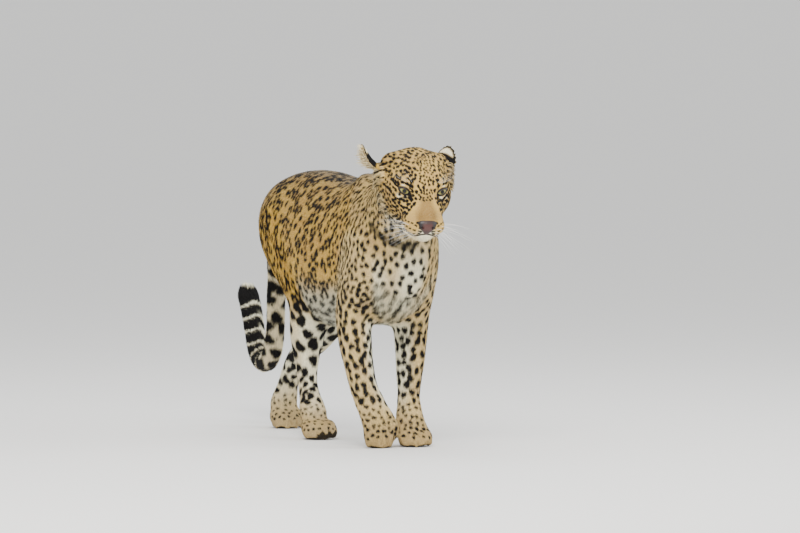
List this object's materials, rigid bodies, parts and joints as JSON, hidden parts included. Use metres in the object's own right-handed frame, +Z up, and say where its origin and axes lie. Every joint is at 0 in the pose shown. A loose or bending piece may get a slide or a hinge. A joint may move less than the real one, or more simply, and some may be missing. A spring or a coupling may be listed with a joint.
{
  "type": "leopard",
  "caption": "Walking leopard at life size, head lowered and turned a little to its right, tail hanging and curled up behind.",
  "frame": {"origin": "on the floor, at the middle of the box round the animal", "axes": "+Z up, the animal heads along -Y, its left side is at +X"},
  "size_m": [0.2588, 1.329, 0.68],
  "materials": {
    "coat": "short fur",
    "nose_leather": "damp",
    "eye": "wet gloss"
  },
  "bodies": {
    "root": {"torso": "coat", "neck": "coat", "head": "coat", "nose": "nose_leather", "ear_left": "coat", "ear_right": "coat", "eye_left": "eye", "eye_right": "eye", "leg_front_left": "coat", "leg_front_right": "coat", "leg_hind_left": "coat", "leg_hind_right": "coat", "paw_front_left": "coat", "paw_front_right": "coat", "paw_hind_left": "coat", "paw_hind_right": "coat", "tail_root": "coat", "tail_middle": "coat", "tail_bend": "coat", "tail_tip": "coat"}
  },
  "joints": []
}
